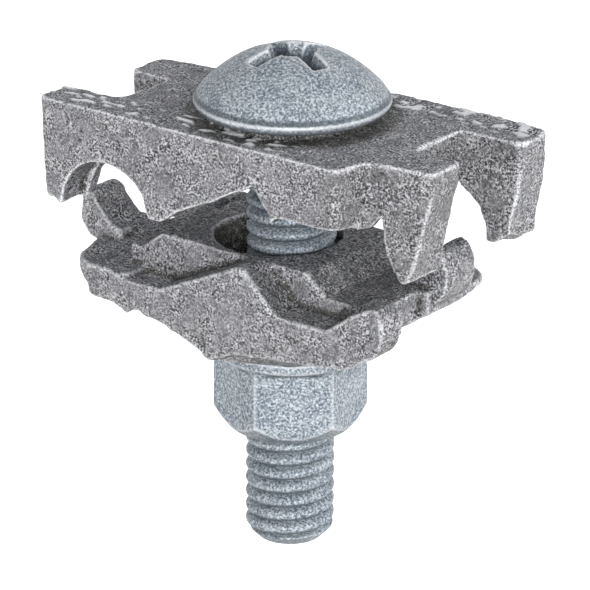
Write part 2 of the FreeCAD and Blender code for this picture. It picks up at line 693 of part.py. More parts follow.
    bore = new_sketch(body, "LowerBoreSketch", "XY_Plane", above)
    circle(bore, size["lower_bore"])
    pocket(body, bore, "LowerBore", size["seat_depth"] - size["peak_depth"] + 2 * CUT_MARGIN)
    bind(body, ".Placement.Base.x", -size["jaw_shift"])
    return body


def check_and_write(document, bodies):
    """Stop on any failed feature or bad solid, then write one file for each piece."""
    for item in document.Objects:
        if "Invalid" in item.State or "Error" in item.State:
            raise RuntimeError(f"{item.Label} failed: {item.State}")
    os.makedirs("parts", exist_ok=True)
    for body in bodies:
        shape = body.Shape
        if shape.isNull() or not shape.isValid() or len(shape.Solids) != 1:
            raise RuntimeError(f"{body.Label} is not one good solid")
        box = shape.BoundBox
        print(f"{body.Label}: volume {shape.Volume:.1f} mm3, "
              f"x {box.XMin:.2f}..{box.XMax:.2f}, y {box.YMin:.2f}..{box.YMax:.2f}, "
              f"z {box.ZMin:.2f}..{box.ZMax:.2f}")
    for body in bodies:
        body.Shape.exportStep(os.path.join("parts", body.Label + ".step"))


def main():
    document = FreeCAD.newDocument("GroundingConnector")
    size = make_sheet(document)
    plate_top = size["shank_length"] - size["boss_height"]
    bodies = [
        make_screw(document, size),
        make_upper_jaw(document, size, plate_top),
        make_lower_jaw(document, size, plate_top),
        make_nut(document, size, plate_top - size["seat_depth"])]
    document.recompute()
    check_and_write(document, bodies)


main()
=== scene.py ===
import math

import bmesh
import bpy
import numpy as np
from mathutils import Matrix, Vector, noise


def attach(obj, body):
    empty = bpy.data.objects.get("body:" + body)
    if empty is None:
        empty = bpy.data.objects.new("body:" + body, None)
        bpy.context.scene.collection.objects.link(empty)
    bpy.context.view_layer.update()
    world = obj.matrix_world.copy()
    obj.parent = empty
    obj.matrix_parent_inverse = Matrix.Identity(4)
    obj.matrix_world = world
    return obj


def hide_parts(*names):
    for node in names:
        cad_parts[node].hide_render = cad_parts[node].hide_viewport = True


MM = 0.001

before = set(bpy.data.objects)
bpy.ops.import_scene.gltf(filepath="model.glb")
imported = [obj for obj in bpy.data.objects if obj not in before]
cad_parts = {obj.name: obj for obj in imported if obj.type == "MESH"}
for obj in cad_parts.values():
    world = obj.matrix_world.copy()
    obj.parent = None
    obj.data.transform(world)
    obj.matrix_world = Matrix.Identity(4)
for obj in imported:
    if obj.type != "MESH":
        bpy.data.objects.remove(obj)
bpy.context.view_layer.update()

SHANK_LENGTH = 48.2
THREAD_RADIUS = 4.76
THREAD_PITCH = 1.5875
END_RADIUS = 3.5
END_CHAMFER = 1.3
HEAD_RADIUS = 10.4
HEAD_RIM = 1.5
HEAD_CROWN = 5.3
RECESS_WIDTH = 2.0
RECESS_DEPTH = 3.4
RECESS_CORE = 2.9
RECESS_CORE_DEPTH = 4.6
HEAD_TURN = -18.0
NUT_FLATS = 14.3
NUT_BOTTOM = 13.0
NUT_TOP = 22.5
COLLAR_HEIGHT = 1.3
COLLAR_RADIUS = 8.2
NUT_CHAMFER = 1.9
NUT_FACE_RADIUS = 6.6
NUT_BORE = 4.81
NUT_TURN = 40.0
JAW_SHIFT = 1.8

# Sizes that only this scene has, in millimetres
THREAD_DEPTH = 0.85
THREAD_SHARPNESS = 2.3
DOME_FOOT = SHANK_LENGTH + HEAD_RIM - 0.2
DOME_POWER = 2.3
RECESS_FLOOR_REACH = 3.675
RECESS_MOUTH_REACH = 6.7

# Fineness: voxels in millimetres, smoothing steps, and steps of the close and the wide look
JAW_VOXEL = 0.22
HEAD_VOXEL = 0.17
NUT_VOXEL = 0.19
JAW_SMOOTHING = 4
HEAD_SMOOTHING = 4
NUT_SMOOTHING = 5
JAW_LOOKS = ((5, 30))
HARDWARE_LOOKS = ((6, 16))


# Mesh helpers

def new_object(name, vertices, faces):
    mesh = bpy.data.meshes.new(name)
    mesh.from_pydata([tuple(v) for v in vertices], [], faces)
    mesh.update()
    piece = bpy.data.objects.new(name, mesh)
    bpy.context.scene.collection.objects.link(piece)
    return piece


def around(radius, turn, height):
    """Point at a radius, an angle and a height in mm, in metres."""
    return radius * math.cos(turn) * MM, radius * math.sin(turn) * MM, height * MM


def lathe(name, profile, segments=160):
    """Closed solid of revolution about Z. The profile runs (r, z) from axis to axis, in mm."""
    vertices, rings, faces = [], [], []
    for radius, height in profile:
        if radius < 1e-6:
            rings.append([len(vertices)])
            vertices.append((0, 0, height * MM))
            continue
        ring = []
        for step in range(segments):
            ring.append(len(vertices))
            vertices.append(around(radius, 2 * math.pi * step / segments, height))
        rings.append(ring)
    for lower, upper in zip(rings, rings[1:]):
        for step in range(segments):
            after = (step + 1) % segments
            if len(lower) == 1:
                faces.append((lower[0], upper[after], upper[step]))
            elif len(upper) == 1:
                faces.append((lower[step], lower[after], upper[0]))
            else:
                faces.append((lower[step], lower[after], upper[after], upper[step]))
    return new_object(name, vertices, faces)


def prism(name, outline, low, high):
    """Upright prism on a plan outline, in mm."""
    count = len(outline)
    vertices = [(x * MM, y * MM, low * MM) for x, y in outline]
    vertices += [(x * MM, y * MM, high * MM) for x, y in outline]
    faces = [tuple(reversed(range(count))), tuple(range(count, 2 * count))]
    for step in range(count):
        after = (step + 1) % count
        faces.append((step, after, after + count, step + count))
    return new_object(name, vertices, faces)


def apply_modifier(piece, kind, **settings):
    modifier = piece.modifiers.new(kind.title(), kind)
    for key, value in settings.items():
        setattr(modifier, key, value)
    bpy.context.view_layer.objects.active = piece
    bpy.context.view_layer.update()
    with bpy.context.temp_override(object=piece, active_object=piece, selected_objects=[piece]):
        bpy.ops.object.modifier_apply(modifier=modifier.name)


def combine(piece, tool, operation):
    """Boolean of the piece with a tool, which is then removed."""
    apply_modifier(piece, "BOOLEAN", operation=operation, object=tool, solver="EXACT")
    bpy.data.objects.remove(tool)


def remesh(piece, voxel, smoothing):
    """Even mesh with softened edges. The voxel is in mm."""
    apply_modifier(piece, "REMESH", mode="VOXEL", voxel_size=voxel * MM, adaptivity=0.0,
                   use_smooth_shade=True)
    apply_modifier(piece, "SMOOTH", factor=0.5, iterations=smoothing)


def coordinates(mesh):
    places = np.empty(len(mesh.vertices) * 3, np.float32)
    mesh.vertices.foreach_get("co", places)
    return places.reshape(-1, 3)


def normals(mesh):
    directions = np.empty(len(mesh.vertices) * 3, np.float32)
    mesh.vertices.foreach_get("normal", directions)
    return directions.reshape(-1, 3)


def set_coordinates(mesh, places):
    mesh.vertices.foreach_set("co", np.ascontiguousarray(places, np.float32).ravel())
    mesh.update()


def noise_field(places, size, seed, octaves=1):
    """Smooth noise from -1 to 1 at each place, with features of the given size in mm."""
    shift = Vector((seed * 17.3, seed * 5.1, seed * 9.7))
    values = np.empty(len(places), np.float32)
    for number, place in enumerate(places):
        point = Vector(place) / (size * MM) + shift
        if octaves == 1:
            values[number] = noise.noise(point)
        else:
            values[number] = noise.fractal(point, 0.7, 2.0, octaves)
    return values


def smooth_copy(piece, steps):
    """Where the vertices go when the piece is smoothed further."""
    twin = piece.copy()
    twin.data = piece.data.copy()
    bpy.context.scene.collection.objects.link(twin)
    apply_modifier(twin, "SMOOTH", factor=0.6, iterations=steps)
    places = coordinates(twin.data).copy()
    bpy.data.objects.remove(twin)
    return places


def store(mesh, name, values):
    attribute = mesh.attributes.new(name, "FLOAT", "POINT")
    attribute.data.foreach_set("value", np.ascontiguousarray(values, np.float32))


def darken(mesh, amount):
    """Adds painted shade and dirt where the amount is high, and takes the bright edge away there.
    """
    for name, change in (("shade_and_dirt", lambda values: np.maximum(values, amount)),
                         ("edge", lambda values: values * (1 - amount))):
        data = mesh.attributes[name].data
        values = np.empty(len(mesh.vertices), np.float32)
        data.foreach_get("value", values)
        data.foreach_set("value", change(values).astype(np.float32))


def shade_smooth(piece):
    piece.data.polygons.foreach_set("use_smooth", [True] * len(piece.data.polygons))
    piece.data.update()


# Materials

class Graph:
    """Short calls for building the nodes of a material or a world."""

    def __init__(self, owner, output):
        owner.use_nodes = True
        self.owner = owner
        self.tree = owner.node_tree
        self.tree.nodes.clear()
        self.output = self.node(output)

    def node(self, kind, **settings):
        made = self.tree.nodes.new(kind)
        for key, value in settings.items():
            setattr(made, key, value)
        return made

    def put(self, socket, value):
        if isinstance(value, bpy.types.NodeSocket):
            self.tree.links.new(value, socket)
        else:
            socket.default_value = value

    def places(self):
        """Object coordinates in millimetres."""
        mapping = self.node("ShaderNodeMapping")
        mapping.inputs["Scale"].default_value = (1000.0, 1000.0, 1000.0)
        self.put(mapping.inputs["Vector"], self.node("ShaderNodeTexCoord").outputs["Object"])
        return mapping.outputs["Vector"]

    def noise(self, places, scale, detail, roughness):
        made = self.node("ShaderNodeTexNoise")
        self.put(made.inputs["Vector"], places)
        made.inputs["Scale"].default_value = scale
        made.inputs["Detail"].default_value = detail
        made.inputs["Roughness"].default_value = roughness
        return made.outputs["Fac"]

    def cells(self, places, scale):
        made = self.node("ShaderNodeTexVoronoi")
        self.put(made.inputs["Vector"], places)
        made.inputs["Scale"].default_value = scale
        return made.outputs["Distance"]

    def attribute(self, name):
        return self.node("ShaderNodeAttribute", attribute_name=name).outputs["Fac"]

    def math(self, operation, first, second=0.0, clamp=False):
        made = self.node("ShaderNodeMath", operation=operation, use_clamp=clamp)
        self.put(made.inputs[0], first)
        self.put(made.inputs[1], second)
        return made.outputs[0]

    def stretch(self, value, low, high, to_low=0.0, to_high=1.0, kind="SMOOTHSTEP"):
        made = self.node("ShaderNodeMapRange", interpolation_type=kind)
        for socket, setting in (("Value", value), ("From Min", low), ("From Max", high),
                                ("To Min", to_low), ("To Max", to_high)):
            self.put(made.inputs[socket], setting)
        return made.outputs["Result"]

    def mix(self, fraction, first, second):
        made = self.node("ShaderNodeMix", data_type="RGBA")
        self.put(made.inputs["Factor"], fraction)
        for socket, color in (("A", first), ("B", second)):
            linked = isinstance(color, bpy.types.NodeSocket)
            self.put(made.inputs[socket], color if linked else (*color, 1.0))
        return made.outputs["Result"]

    def bump(self, height, strength, distance):
        made = self.node("ShaderNodeBump")
        made.inputs["Strength"].default_value = strength
        made.inputs["Distance"].default_value = distance * MM
        self.put(made.inputs["Height"], height)
        return made.outputs["Normal"]

    def shows_background(self):
        """1 for the rays that show the background as white, 0 for those that light the object."""
        rays = self.node("ShaderNodeLightPath")
        seen = self.math("MAXIMUM", rays.outputs["Is Camera Ray"],
                         rays.outputs["Is Transmission Ray"])
        return self.math("MAXIMUM", seen, rays.outputs["Is Glossy Ray"])

    def metal(self, color, roughness, normal):
        """Dull plated metal. Returns the finished material."""
        shader = self.node("ShaderNodeBsdfPrincipled")
        for socket, value in (("Base Color", color), ("Roughness", roughness), ("Normal", normal),
                              ("Metallic", 0.2), ("Specular IOR Level", 0.25)):
            self.put(shader.inputs[socket], value)
        self.put(self.output.inputs["Surface"], shader.outputs["BSDF"])
        return self.owner


def new_material(name):
    return Graph(bpy.data.materials.new(name), "ShaderNodeOutputMaterial")


def casting_material():
    """Plated casting: salt-and-pepper mottling, dark pits, painted glints, bright edges (worn, and
    a painted highlight), painted shade and dirt in hollows, painted shade on what faces up.
    """
    graph = new_material("casting")
    places = graph.places()
    broad = graph.noise(places, 0.25, 3.0, 0.55)
    mid = graph.noise(places, 1.3, 3.0, 0.6)
    fine = graph.noise(places, 4.2, 3.0, 0.65)
    grain = graph.noise(places, 8.5, 1.0, 0.5)
    edge = graph.attribute("edge")
    shade_and_dirt = graph.attribute("shade_and_dirt")
    top_shade = graph.attribute("top_shade")
    fleck = graph.attribute("fleck")
    color = graph.mix(graph.stretch(broad, 0.38, 0.62), (0.195, 0.196, 0.21), (0.27, 0.267, 0.283))
    color = graph.mix(graph.stretch(mid, 0.50, 0.38, 0.0, 0.40), color, (0.14, 0.138, 0.145))
    # Painted shade on what faces up, broken up by noise; the same mask also makes it rougher
    shade = graph.math("MULTIPLY", top_shade, graph.stretch(mid, 0.32, 0.60, 1.0, 0.65))
    color = graph.mix(shade, color, (0.065, 0.078, 0.095))
    # Painted shade and dirt in hollows and on undersides
    color = graph.mix(graph.math("MULTIPLY", shade_and_dirt, 0.85), color, (0.04, 0.039, 0.028))
    lively = graph.stretch(graph.noise(places, 0.55, 2.0, 0.5), 0.36, 0.60, 0.35, 1.0)
    salt = graph.math("MULTIPLY", graph.stretch(fine, 0.52, 0.58, 0.0, 0.85), lively)
    salt = graph.math("MULTIPLY", salt, graph.stretch(shade_and_dirt, 0.0, 1.0, 1.0, 0.25))
    color = graph.mix(salt, color, (0.72, 0.72, 0.75))
    pepper = graph.math("MULTIPLY", graph.stretch(fine, 0.475, 0.41, 0.0, 1.0), lively)
    color = graph.mix(pepper, color, (0.02, 0.019, 0.022))
    pits = graph.math("MULTIPLY", graph.stretch(graph.cells(places, 1.0), 0.20, 0.12),
                      graph.stretch(mid, 0.50, 0.42))
    color = graph.mix(graph.math("MULTIPLY", pits, 0.8), color, (0.03, 0.028, 0.03))
    # Painted glints: near-white specks in the colour
    painted_glints = graph.math("MULTIPLY", graph.stretch(grain, 0.60, 0.68),
                        graph.stretch(mid, 0.46, 0.58))
    color = graph.mix(graph.math("MULTIPLY", painted_glints, 0.95), color, (0.95, 0.95, 0.96))
    # Bright edges: worn plating, also a painted highlight
    edge_wear_and_highlight = graph.math("MULTIPLY", edge, graph.stretch(fine, 0.38, 0.52, 0.2, 1.0), clamp=True)
    # Flecks: raised worn marks painted bright as glints
    edge_wear_and_highlight = graph.math("MAXIMUM", edge_wear_and_highlight, fleck)
    color = graph.mix(edge_wear_and_highlight, color, (0.90, 0.91, 0.94))
    roughness = graph.stretch(fine, 0.35, 0.65, 0.50, 0.30)
    roughness = graph.math("ADD", roughness, graph.math("MULTIPLY", top_shade, 0.35), clamp=True)
    height = graph.math("ADD", graph.math("MULTIPLY", fine, 0.8),
                        graph.math("MULTIPLY", grain, 0.25))
    height = graph.math("SUBTRACT", height, graph.math("MULTIPLY", pits, 0.5))
    return graph.metal(color, roughness, graph.bump(height, 1.0, 0.22))


def galvanised_material():
    """Bluish galvanised steel with fine bright grain."""
    graph = new_material("galvanised")
    places = graph.places()
    broad = graph.noise(places, 0.30, 3.0, 0.5)
    grain = graph.noise(places, 4.0, 3.0, 0.68)
    fine = graph.noise(places, 7.0, 2.0, 0.6)
    edge = graph.attribute("edge")
    shade_and_dirt = graph.attribute("shade_and_dirt")
    color = graph.mix(graph.stretch(broad, 0.38, 0.62), (0.235, 0.275, 0.315), (0.315, 0.355, 0.39))
    color = graph.mix(graph.stretch(grain, 0.51, 0.61, 0.0, 0.80), color, (0.66, 0.71, 0.76))
    color = graph.mix(graph.stretch(grain, 0.49, 0.39, 0.0, 0.85), color, (0.07, 0.10, 0.14))
    # Bright edges: worn plating, also a painted highlight
    color = graph.mix(graph.math("MULTIPLY", edge, 0.6, clamp=True), color, (0.86, 0.88, 0.91))
    # Painted shade and dirt in thread grooves, hollows and undersides
    color = graph.mix(graph.math("MULTIPLY", shade_and_dirt, 0.9), color, (0.045, 0.06, 0.07))
    roughness = graph.stretch(grain, 0.35, 0.65, 0.46, 0.30)
    height = graph.math("ADD", graph.math("MULTIPLY", grain, 0.8),
                        graph.math("MULTIPLY", fine, 0.3))
    return graph.metal(color, roughness, graph.bump(height, 0.8, 0.10))


# Bright edges, painted shade and castings

def standing_out(piece, steps):
    """How far each point stands out of its smoothed neighbourhood."""
    offset = coordinates(piece.data) - smooth_copy(piece, steps)
    return (offset * normals(piece.data)).sum(1)


def ramp(values, low, high):
    """0 below the first value, 1 beyond the second, smooth in between. Either may be the larger."""
    share = np.clip((values - low) / (high - low), 0.0, 1.0)
    return share * share * (3 - 2 * share)


def curvature_attributes(piece, looks, edge_brightness=1.0):
    """Bright edges (wear and a painted highlight) come from a close look at the surface; painted
    shade and dirt in hollows from a wide one, with painted shade on undersides.
    """
    close = standing_out(piece, looks[0])
    wide = -standing_out(piece, looks[1])
    edge = np.clip((close / np.percentile(close, 98.5) - 0.30) / 0.48, 0.0, 1.0)
    store(piece.data, "edge", edge * edge_brightness)
    shade_and_dirt = np.clip((wide / np.percentile(wide, 98.5) - 0.35) / 0.65, 0.0, 1.0)
    # Painted shade on faces that point downward
    underside = ramp(normals(piece.data)[:, 2], -0.15, -0.75)
    store(piece.data, "shade_and_dirt", np.maximum(shade_and_dirt, underside * 0.7))


def upper_sculpt(places):
    """Unevenness of the upper casting: how far each point moves, in mm."""
    x, y, z = (places / MM).T
    moves = np.zeros_like(places)
    # The back edge stands up a little
    moves[:, 2] += 0.35 * ramp(y, 9.5, 11.3) * ramp(z, 43.5, 46.5) * ramp(x, 1.0, 6.0)
    # The web beside the front narrow leg hangs lower where it meets the front wall
    web = ramp(z, 40.4, 41.7) * ramp(z, 44.0, 42.6) * ramp(y, -8.7, -8.2) * ramp(y, -5.6, -6.8)
    moves[:, 2] -= 1.6 * web * ramp(x, 11.5, 13.5) * ramp(x, 17.0, 15.2)
    # The front narrow leg: fuller on the right, with a rounded tip
    narrow = ramp(y, 1.0, -2.0) * ramp(y, -9.0, -8.0) * ramp(x, 16.2, 17.0)
    outer = np.maximum(ramp(z, 42.0, 46.0), ramp(y, -4.0, -5.5))
    moves[:, 0] += 0.5 * narrow * ramp(x, 19.3, 20.6) * outer
    moves[:, 0] += 0.9 * narrow * ramp(z, 38.8, 35.2) * ramp(x, 19.4, 17.6)
    tip = narrow * ramp(z, 36.4, 35.4)
    moves[:, 2] += tip * (0.9 * ramp(x, 19.0, 17.4) + 0.5 * ramp(x, 19.4, 20.4))
    # The vee sits further right, and the front tooth lower
    wall = ramp(y, -7.6, -8.4)
    moves[:, 0] += 1.0 * wall * ramp(z, 46.0, 44.2) * ramp(x, -7.0, -2.0) * ramp(x, 6.6, 4.6)
    moves[:, 2] -= 0.4 * wall * ramp(z, 39.5, 38.2) * ramp(x, -12.0, -10.0) * ramp(x, -6.0, -7.5)
    # The left end is a little shorter
    moves[:, 0] += 0.3 * ramp(x, -22.8, -24.4)
    # The back right leg: a thinner inside at mid height and a lower, blunter outer corner
    leg = ramp(x, 18.0, 19.5) * ramp(y, 5.0, 6.5)
    inner = leg * ramp(x, 23.2, 21.5)
    moves[:, 0] += 0.6 * inner * ramp(z, 44.5, 43.0) * ramp(z, 38.5, 41.0)
    moves[:, 2] -= 0.8 * leg * ramp(x, 20.5, 22.5) * ramp(y, 7.0, 9.5) * ramp(z, 41.0, 36.5)
    moves[:, 0] -= 0.45 * leg * ramp(x, 21.0, 23.0) * ramp(z, 43.5, 38.0)
    # The front left leg: a fuller outer corner
    moves[:, 2] -= 0.6 * ramp(x, -22.5, -23.8) * ramp(y, -6.0, -7.0) * ramp(z, 38.5, 37.0)
    return moves * MM


def lower_sculpt(places):
    """Unevenness of the lower casting: how far each point moves, in mm."""
    x, y, z = (places / MM).T
    moves = np.zeros_like(places)
    # The right end sits higher, its back ledge most of all
    moves[:, 2] += 0.25 * ramp(x, 9.5, 13.5) * ramp(y, -7.8, -5.0)
    ledge = ramp(x, 8.0, 13.0) * ramp(y, 5.5, 8.0)
    moves[:, 2] += 0.6 * ledge
    moves[:, 0] += 0.3 * ledge * ramp(x, 15.5, 18.0)
    # The front right lobe leans outward
    lobe = ramp(y, -7.5, -8.6) * ramp(z, 27.5, 30.0)
    moves[:, 0] += 1.6 * lobe * ramp(x, 9.5, 13.5) * ramp(x, 20.2, 17.5)
    # The back left lip is higher
    lip = ramp(y, 6.5, 8.5) * ramp(z, 28.0, 30.0)
    moves[:, 2] += 2.0 * lip * ramp(x, -11.0, -13.0) * ramp(x, -20.0, -17.5)
    # The left finger has a broader tip
    finger = ramp(x, -18.5, -20.0) * ramp(z, 33.0, 35.0) * ramp(y, 7.0, 6.0)
    moves[:, 0] -= 0.7 * finger * ramp(x, -24.4, -23.0)
    # The thick left ledge ends a little shorter, with a rounder lower corner
    thick = ramp(x, -17.0, -21.0) * ramp(y, -4.0, -7.0)
    moves[:, 0] += (0.3 + 1.1 * ramp(z, 29.0, 26.0)) * thick
    moves[:, 2] += 0.4 * ramp(z, 28.5, 26.5) * thick
    # The underside of the front wall is higher under the ledge and beside it; the notch is filled
    front = ramp(y, -6.0, -8.0)
    notch = ramp(x, -14.4, -13.2) * ramp(x, -11.6, -12.6)
    moves[:, 2] += 0.45 * front * ramp(z, 28.5, 26.6) * ramp(x, -13.6, -16.0)
    moves[:, 2] -= 0.35 * front * ramp(z, 27.2, 26.4) * notch
    moves[:, 2] += 0.55 * front * ramp(z, 27.0, 25.0) * ramp(x, -11.8, -9.4) * ramp(x, -2.0, -4.5)
    return moves * MM


def make_casting(node, seed, top_shade, edge_brightness, sculpt, material):
    """Cast copy of a CAD jaw: softened edges, uneven skin, pits, painted shade on what faces up."""
    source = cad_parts[node]
    piece = source.copy()
    piece.data = source.data.copy()
    piece.name = node + "_casting"
    piece.parent = None
    bpy.context.scene.collection.objects.link(piece)
    piece.data.materials.clear()
    # The copy doesn't keep the properties of the CAD node
    for key in list(piece.keys()):
        del piece[key]
    remesh(piece, JAW_VOXEL, JAW_SMOOTHING)
    places = coordinates(piece.data)
    directions = normals(piece.data)
    upward = np.clip((directions[:, 2] - 0.25) / 0.6, 0.0, 1.0)
    curvature_attributes(piece, JAW_LOOKS, edge_brightness)
    # Painted shade on what faces up
    store(piece.data, "top_shade", upward * top_shade)
    fleck = np.zeros(len(places), np.float32)
    x, y, z = (places / MM).T
    if node == "lower_jaw":
        # Painted shade: a dark bore, and shade on the right trough under the upper jaw
        darken(piece.data, ramp(np.hypot(x + JAW_SHIFT, y), 7.4, 7.0) * ramp(z, 33.9, 33.0))
        darken(piece.data, 0.35 * upward * ramp(x, -2.0, 2.0) * ramp(z, 34.5, 33.5))
    if node == "upper_jaw":
        # Painted shadow round the head, painted shade on the right walls, and long raised worn
        # flecks painted bright as glints by the plate's long edges
        darken(piece.data, 0.85 * ramp(np.hypot(x, y), 12.2, 10.6) * ramp(z, 46.5, 47.2))
        darken(piece.data, 0.28 * ramp(x, 12.0, 13.0) * ramp(x, 23.8, 23.0) * (1 - upward))
        front = ramp(y, -6.8, -7.8) * ramp(y, -11.2, -10.4) * ramp(x, 8.0, 4.0)
        behind = ramp(y, 8.0, 9.0) * ramp(x, 3.0, 6.0) * 0.8
        marks = noise_field(places * np.array((0.45, 1.0, 1.0)), 0.62, seed + 9)
        fleck = ramp(z, 47.0, 47.2) * np.maximum(front, behind) * upward * ramp(marks, 0.22, 0.30)
    store(piece.data, "fleck", fleck)
    waves = (noise_field(places, 4.0, seed, 2) * 0.12
             + noise_field(places, 1.5, seed + 3, 2) * 0.08
             + noise_field(places, 0.75, seed + 5) * 0.05
             + fleck * 0.18)
    set_coordinates(piece.data, places + sculpt(places) + directions * waves[:, None] * MM)
    shade_smooth(piece)
    piece.data.materials.append(material)
    return piece


# Screw and nut

def thread_radius_at(phase):
    """Broad rounded crest and narrow groove. Phase runs from 0 to 1 over one pitch."""
    distance = abs((phase + 0.5) % 1.0 - 0.5) * 2
    return THREAD_RADIUS - THREAD_DEPTH * distance ** THREAD_SHARPNESS


def make_thread(name, low, high, segments=96, rows=14):
    """Helical surface closed by flat ends, with its start cut to a chamfer. The ends are in mm."""
    total = (math.ceil((high - low) / THREAD_PITCH) + 2) * rows
    slope = (THREAD_RADIUS - END_RADIUS) / END_CHAMFER
    vertices = []
    for row in range(total + 1):
        for step in range(segments + 1):
            turn = step / segments
            phase = row / rows
            height = min(max(low + (phase + turn - 1.5) * THREAD_PITCH, low), high)
            radius = min(thread_radius_at(phase), END_RADIUS + (height - low) * slope)
            vertices.append(around(radius, 2 * math.pi * turn, height))
    faces = []
    width = segments + 1
    for row in range(total):
        for step in range(segments):
            first = row * width + step
            faces.append((first, first + 1, first + 1 + width, first + width))
    piece = new_object(name, vertices, faces)
    bm = bmesh.new()
    bm.from_mesh(piece.data)
    bmesh.ops.remove_doubles(bm, verts=bm.verts, dist=0.004 * MM)
    bmesh.ops.dissolve_degenerate(bm, edges=bm.edges, dist=0.002 * MM)
    rims = [edge for edge in bm.edges if edge.is_boundary]
    bmesh.ops.holes_fill(bm, edges=rims, sides=0)
    bmesh.ops.recalc_face_normals(bm, faces=bm.faces)
    bmesh.ops.triangulate(bm, faces=[face for face in bm.faces if len(face.verts) > 4])
    bm.to_mesh(piece.data)
    bm.free()
    return piece


def dome_height(radius):
    """Height of the head's dome at a distance from its axis, in mm."""
    return DOME_FOOT + HEAD_CROWN * (1 - (radius / HEAD_RADIUS) ** DOME_POWER)


def head_profile(steps=24, foot=0.97):
    """Rounded rim, then the dome from a share of the head's radius to the axis."""
    base = SHANK_LENGTH
    rim = [(0.0, base + 0.02), (HEAD_RADIUS - 1.1, base + 0.02),
           (HEAD_RADIUS - 0.6, base + 0.15), (HEAD_RADIUS - 0.25, base + 0.4),
           (HEAD_RADIUS - 0.06, base + 0.8), (HEAD_RADIUS, DOME_FOOT - 0.25),
           (HEAD_RADIUS - 0.15, DOME_FOOT - 0.05)]
    radii = [HEAD_RADIUS * foot * (1 - step / steps) for step in range(1, steps)]
    return rim + [(radius, dome_height(radius)) for radius in radii + [0.0]]


def make_head():
    """Domed head with a cross recess that tapers to its floor."""
    head = lathe("head_blank", head_profile())
    crown = SHANK_LENGTH + HEAD_RIM + HEAD_CROWN
    half = RECESS_WIDTH / 2
    levels = ((crown - RECESS_DEPTH, RECESS_FLOOR_REACH, half * 0.75),
              (crown + 1.0, RECESS_MOUTH_REACH, half * 1.15))
    for name, turn in (("wing_a", 0), ("wing_b", 90)):
        corners = []
        for height, along, across in levels:
            for x, y in ((-along, -across), (along, -across), (along, across), (-along, across)):
                corners.append((x * MM, y * MM, height * MM))
        faces = [(3, 2, 1, 0), (4, 5, 6, 7), (0, 1, 5, 4), (1, 2, 6, 5), (2, 3, 7, 6), (3, 0, 4, 7)]
        wing = new_object(name, corners, faces)
        wing.data.transform(Matrix.Rotation(math.radians(turn + HEAD_TURN), 4, "Z"))
        combine(head, wing, "DIFFERENCE")
    core = lathe("core", [(0.0, crown - RECESS_CORE_DEPTH),
                          (RECESS_CORE * 0.5, crown - RECESS_DEPTH),
                          (RECESS_CORE + 0.2, crown + 1.0), (0.0, crown + 1.0)], 48)
    combine(head, core, "DIFFERENCE")
    remesh(head, HEAD_VOXEL, HEAD_SMOOTHING)
    return head


def join(first, second):
    bm = bmesh.new()
    bm.from_mesh(first.data)
    bm.from_mesh(second.data)
    bm.to_mesh(first.data)
    bm.free()
    bpy.data.objects.remove(second)


def make_screw(material):
    """Threaded shank and head in one piece. Only the head's edges are brightened, as wear and as a
    painted highlight.
    """
    screw = make_thread("screw_threaded", 0.0, SHANK_LENGTH + 0.5)
    join(screw, make_head())
    x, y, z = (coordinates(screw.data) / MM).T
    curvature_attributes(screw, HARDWARE_LOOKS, z > SHANK_LENGTH - 0.5)
    radius = np.minimum(np.hypot(x, y), HEAD_RADIUS)
    # Darker inside the recess, and a painted shadow line in the crease between the rim and the dome
    recess = (0.75 * ramp(dome_height(radius) - z, 0.5, 1.8)
              * ramp(z, SHANK_LENGTH, SHANK_LENGTH + 0.5)
              * ramp(radius, RECESS_MOUTH_REACH + 0.8, RECESS_MOUTH_REACH - 0.2))
    crease = (0.8 * ramp(z, DOME_FOOT - 0.3, DOME_FOOT - 0.1)
              * ramp(radius, HEAD_RADIUS - 0.55, HEAD_RADIUS - 0.35)
              * ramp(radius, HEAD_RADIUS - 0.05, HEAD_RADIUS - 0.2))
    darken(screw.data, np.maximum(recess, crease))
    shade_smooth(screw)
    screw.data.materials.append(material)
    return screw


def make_nut(material):
    """Hexagon nut with a chamfered free face, a round collar and a smooth bore."""
    corner = NUT_FLATS / math.sqrt(3)
    seat = NUT_TOP - COLLAR_HEIGHT
    turns = [math.radians(60 * step) for step in range(6)]
    outline = [(corner * math.cos(turn), corner * math.sin(turn)) for turn in turns]
    nut = prism("nut_hex", outline, NUT_BOTTOM, seat + 0.1)
    limit = lathe("nut_limit", [(0.0, NUT_BOTTOM), (NUT_FACE_RADIUS, NUT_BOTTOM),
                                (corner, NUT_BOTTOM + NUT_CHAMFER), (corner - 0.05, NUT_TOP),
                                (0.0, NUT_TOP)])
    combine(nut, limit, "INTERSECT")
    collar = lathe("nut_collar", [(0.0, seat), (COLLAR_RADIUS - 0.2, seat),
                                  (COLLAR_RADIUS, seat + 0.25), (COLLAR_RADIUS, NUT_TOP - 0.1),
                                  (COLLAR_RADIUS - 0.15, NUT_TOP), (0.0, NUT_TOP)])
    combine(nut, collar, "UNION")
    bore = lathe("nut_bore", [(0.0, NUT_BOTTOM - 1), (NUT_BORE + 1.45, NUT_BOTTOM - 1),
                              (NUT_BORE + 0.45, NUT_BOTTOM), (NUT_BORE + 0.05, NUT_BOTTOM + 0.5),
                              (NUT_BORE + 0.05, NUT_TOP + 1), (0.0, NUT_TOP + 1)], 96)
    combine(nut, bore, "DIFFERENCE")
    remesh(nut, NUT_VOXEL, NUT_SMOOTHING)
    nut.data.transform(Matrix.Rotation(math.radians(NUT_TURN), 4, "Z"))
    nut.name = "nut_galvanised"
    curvature_attributes(nut, HARDWARE_LOOKS)
    shade_smooth(nut)
    nut.data.materials.append(material)
    return nut


casting = casting_material()
galvanised = galvanised_material()

